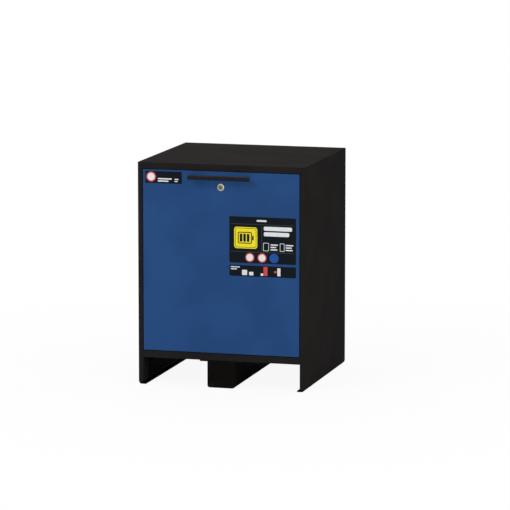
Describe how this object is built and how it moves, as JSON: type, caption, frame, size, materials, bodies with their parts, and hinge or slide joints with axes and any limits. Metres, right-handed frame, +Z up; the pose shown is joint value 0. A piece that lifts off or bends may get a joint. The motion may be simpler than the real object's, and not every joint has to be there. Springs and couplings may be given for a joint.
{
  "type": "battery charging safety cabinet",
  "caption": "Fire-rated underbench cabinet for charging lithium-ion batteries, with an insulated pull-out drawer, key lock and pallet-truck skids.",
  "frame": {"origin": "on the floor, in the middle of the whole envelope from the handle to the air spigots", "axes": "+X to the right of someone who faces the drawer front, -Y towards the drawer front, +Z up"},
  "size_m": [0.593, 0.633, 0.775],
  "materials": {
    "casing_grey": "fine-textured powder coat, satin",
    "skid_black": "smooth powder coat, satin",
    "front_blue": "fine-textured powder coat, satin",
    "insulation_board": "mineral fibre, matte",
    "liner_board": "coated fibre board, matte",
    "trim_steel": "powder coat, satin",
    "seal_strip": "intumescent strip, matte",
    "handle_black": "anodised, satin",
    "nickel": "polished nickel",
    "lock_core_brass": "satin nickel on brass",
    "runner_zinc": "bright zinc",
    "stainless": "ground stainless",
    "tub_grey": "powder coat, satin",
    "housing_black": "moulded, matte",
    "socket_black": "moulded, gloss",
    "rocker_red": "moulded, gloss",
    "gland_grey": "moulded, matte",
    "spigot_zinc": "galvanised"
  },
  "bodies": {
    "carcass": {"side_panel_left": "casing_grey", "side_panel_right": "casing_grey", "top_panel": "casing_grey", "base_panel": "casing_grey", "back_panel": "casing_grey", "foot_rail_left": "skid_black", "foot_rail_right": "skid_black", "centre_skid": "skid_black", "insulation_side_left": "insulation_board", "insulation_side_right": "insulation_board", "insulation_top": "insulation_board", "insulation_floor": "insulation_board", "insulation_back": "insulation_board", "liner_side_left": "liner_board", "liner_side_right": "liner_board", "liner_top": "liner_board", "liner_floor": "liner_board", "liner_back": "liner_board", "frame_trim": "trim_steel", "swelling_seal": "seal_strip", "runner_outer_left": "runner_zinc", "runner_outer_right": "runner_zinc", "socket_strip": "housing_black", "socket_inserts": "socket_black", "air_spigot_left": "spigot_zinc", "air_spigot_right": "spigot_zinc", "valve_guide_left": "spigot_zinc", "valve_guide_right": "spigot_zinc", "cable_gland": "gland_grey", "gland_nut": "gland_grey"},
    "drawer": {"front_skin": "front_blue", "front_insulation": "insulation_board", "front_liner": "liner_board", "front_gasket": "seal_strip", "handle": "handle_black", "handle_screws": "stainless", "lock_case": "stainless", "lock_rosette": "nickel", "tub": "tub_grey", "perforated_insert": "stainless", "front_stay_left": "tub_grey", "front_stay_right": "tub_grey", "front_screws": "stainless", "runner_inner_left": "runner_zinc", "runner_inner_right": "runner_zinc"},
    "runner_middle_left": {"runner_middle_left": "runner_zinc"},
    "runner_middle_right": {"runner_middle_right": "runner_zinc"},
    "cage_outer_left": {"cage_outer_left": "runner_zinc"},
    "cage_outer_right": {"cage_outer_right": "runner_zinc"},
    "cage_inner_left": {"cage_inner_left": "runner_zinc"},
    "cage_inner_right": {"cage_inner_right": "runner_zinc"},
    "lock_core": {"lock_core": "lock_core_brass"},
    "lock_bolt": {"lock_bolt": "stainless"},
    "switch_rocker": {"switch_rocker": "rocker_red"},
    "air_valve_left": {"air_valve_left": "spigot_zinc"},
    "air_valve_right": {"air_valve_right": "spigot_zinc"}
  },
  "joints": [
    {"name": "drawer_slide", "type": "slide", "parent": "carcass", "child": "drawer", "axis": [0, -1, 0], "range_m": [0, 0.4]},
    {"name": "runner_middle_left_slide", "type": "slide", "parent": "carcass", "child": "runner_middle_left", "axis": [0, -1, 0], "range_m": [0, 0.2]},
    {"name": "cage_outer_left_slide", "type": "slide", "parent": "carcass", "child": "cage_outer_left", "axis": [0, -1, 0], "range_m": [0, 0.1]},
    {"name": "cage_inner_left_slide", "type": "slide", "parent": "carcass", "child": "cage_inner_left", "axis": [0, -1, 0], "range_m": [0, 0.3]},
    {"name": "runner_middle_right_slide", "type": "slide", "parent": "carcass", "child": "runner_middle_right", "axis": [0, -1, 0], "range_m": [0, 0.2]},
    {"name": "cage_outer_right_slide", "type": "slide", "parent": "carcass", "child": "cage_outer_right", "axis": [0, -1, 0], "range_m": [0, 0.1]},
    {"name": "cage_inner_right_slide", "type": "slide", "parent": "carcass", "child": "cage_inner_right", "axis": [0, -1, 0], "range_m": [0, 0.3]},
    {"name": "bolt_lift", "type": "slide", "parent": "drawer", "child": "lock_bolt", "axis": [0, 0, 1], "range_m": [0, 0.012]},
    {"name": "lock_turn", "type": "hinge", "parent": "drawer", "child": "lock_core", "pos_m": [0, -0.2825, 0.697], "axis": [0, -1, 0], "range_deg": [0, 90]},
    {"name": "switch_tilt", "type": "hinge", "parent": "carcass", "child": "switch_rocker", "pos_m": [0.165, 0.1805, 0.4735], "axis": [-1, 0, 0], "range_deg": [0, 12]},
    {"name": "air_valve_left_close", "type": "slide", "parent": "carcass", "child": "air_valve_left", "axis": [0, 1, 0], "range_m": [0, 0.0119]},
    {"name": "air_valve_right_close", "type": "slide", "parent": "carcass", "child": "air_valve_right", "axis": [0, 1, 0], "range_m": [0, 0.0119]}
  ],
  "couplings": [
    {"joint": "runner_middle_left_slide", "follows": "drawer_slide", "ratio": 0.5},
    {"joint": "cage_outer_left_slide", "follows": "drawer_slide", "ratio": 0.25},
    {"joint": "cage_inner_left_slide", "follows": "drawer_slide", "ratio": 0.75},
    {"joint": "runner_middle_right_slide", "follows": "drawer_slide", "ratio": 0.5},
    {"joint": "cage_outer_right_slide", "follows": "drawer_slide", "ratio": 0.25},
    {"joint": "cage_inner_right_slide", "follows": "drawer_slide", "ratio": 0.75},
    {"joint": "lock_turn", "follows": "bolt_lift", "rad_per_m": 130.9}
  ]
}
